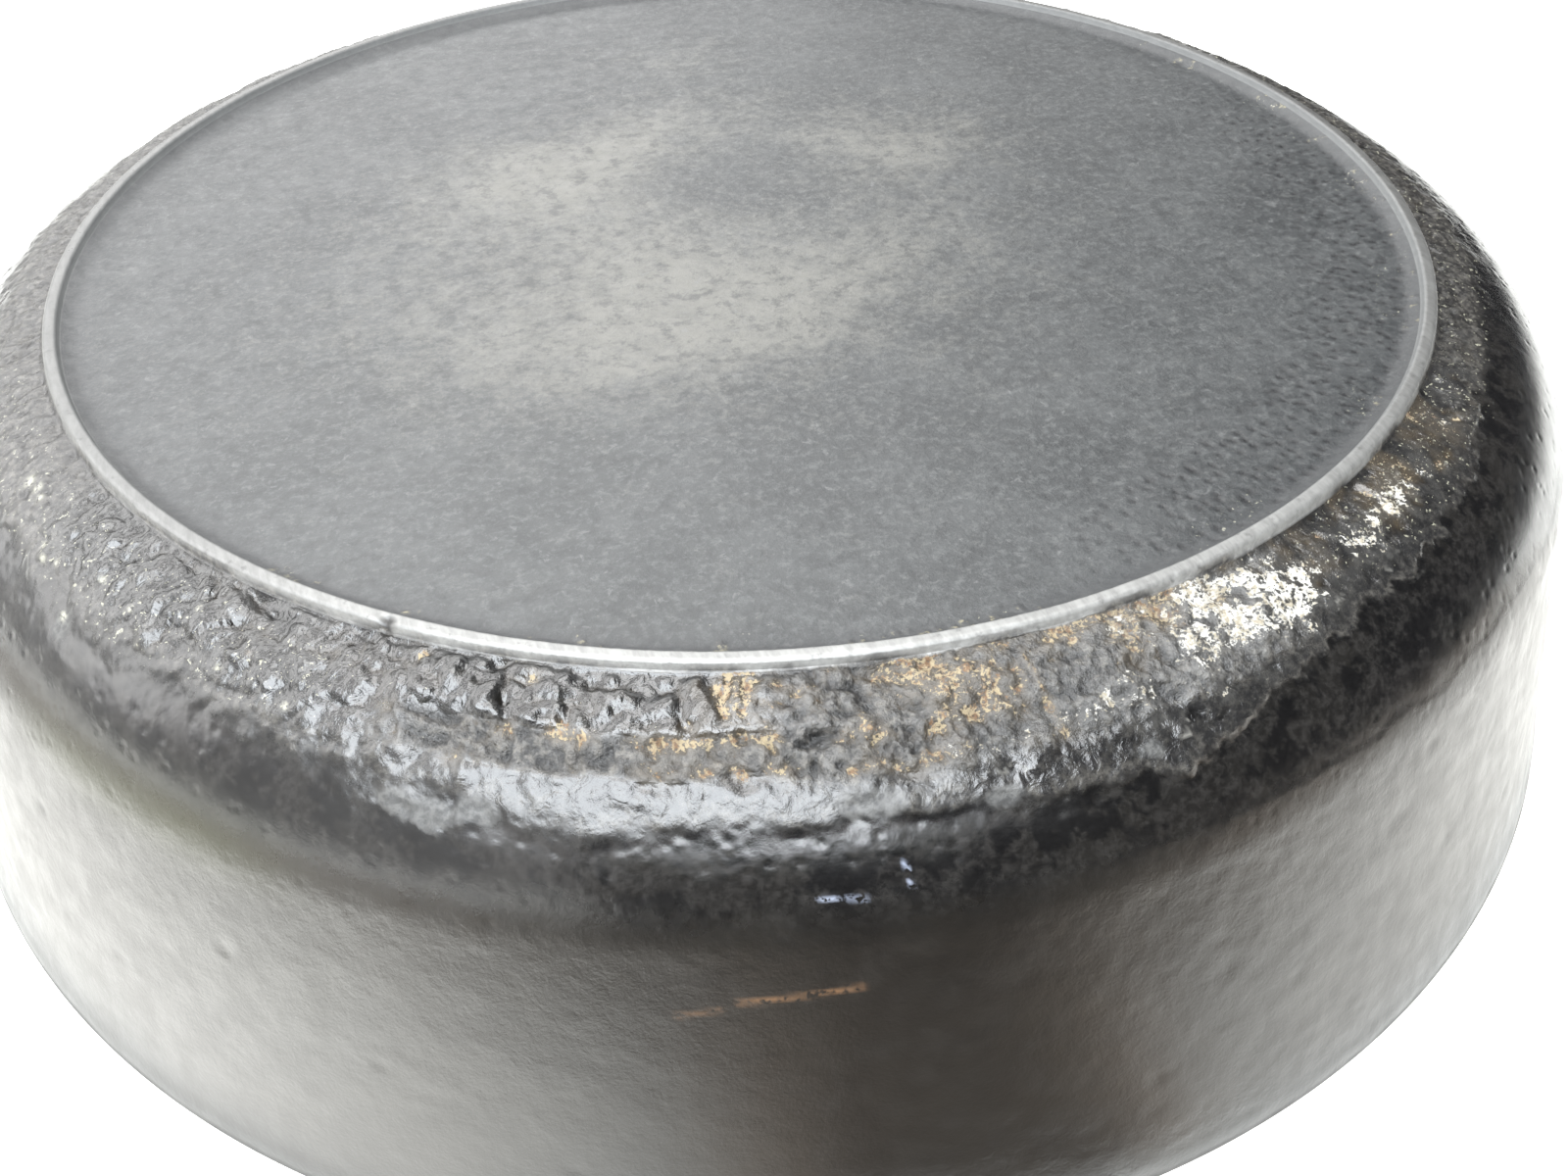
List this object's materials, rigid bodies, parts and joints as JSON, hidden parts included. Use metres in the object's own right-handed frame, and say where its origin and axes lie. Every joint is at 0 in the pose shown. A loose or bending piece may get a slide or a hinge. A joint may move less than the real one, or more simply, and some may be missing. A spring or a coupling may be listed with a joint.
{
  "type": "cast iron dutch oven",
  "caption": "Wide shallow cast iron pot stored upside down on its rim, with a heat ring on its base, bail ears, a wire bail and a drop-in lid with a loop handle.",
  "frame": {"origin": "centre of the pot's flat base face, inside the heat ring. The pot is stored upside down, so this face is at the top; the rim and the lid rest on the plane z = -0.0718", "axes": "+Z out of the base, which is up while the pot is stored upside down. +X through the two bail ears, which is the bail's hinge axis. +Y towards the side that the bail lies on. Turn the part half a turn about X for cooking"},
  "size_m": [0.3353, 0.3142, 0.0738],
  "materials": {
    "pot_iron": "seasoned black iron, worn smooth and grey on the base, flaky carbon crust on the heel, satin pebbled wall",
    "lid_iron": "seasoned black iron, satin, fine casting grain",
    "bail_steel": "blackened steel wire, rubbed brighter at the hooks"
  },
  "bodies": {
    "lid": {"lid_casting": "lid_iron"},
    "pot": {"pot_casting": "pot_iron"},
    "bail": {"bail_wire": "bail_steel"}
  },
  "joints": [
    {"name": "pot_lift", "type": "slide", "parent": "lid", "child": "pot", "axis": [0, 0, 1], "range_m": [0, 0.22]},
    {"name": "bail_swing", "type": "hinge", "parent": "pot", "child": "bail", "pos_m": [0, 0, -0.0588], "axis": [1, 0, 0], "continuous": true}
  ]
}
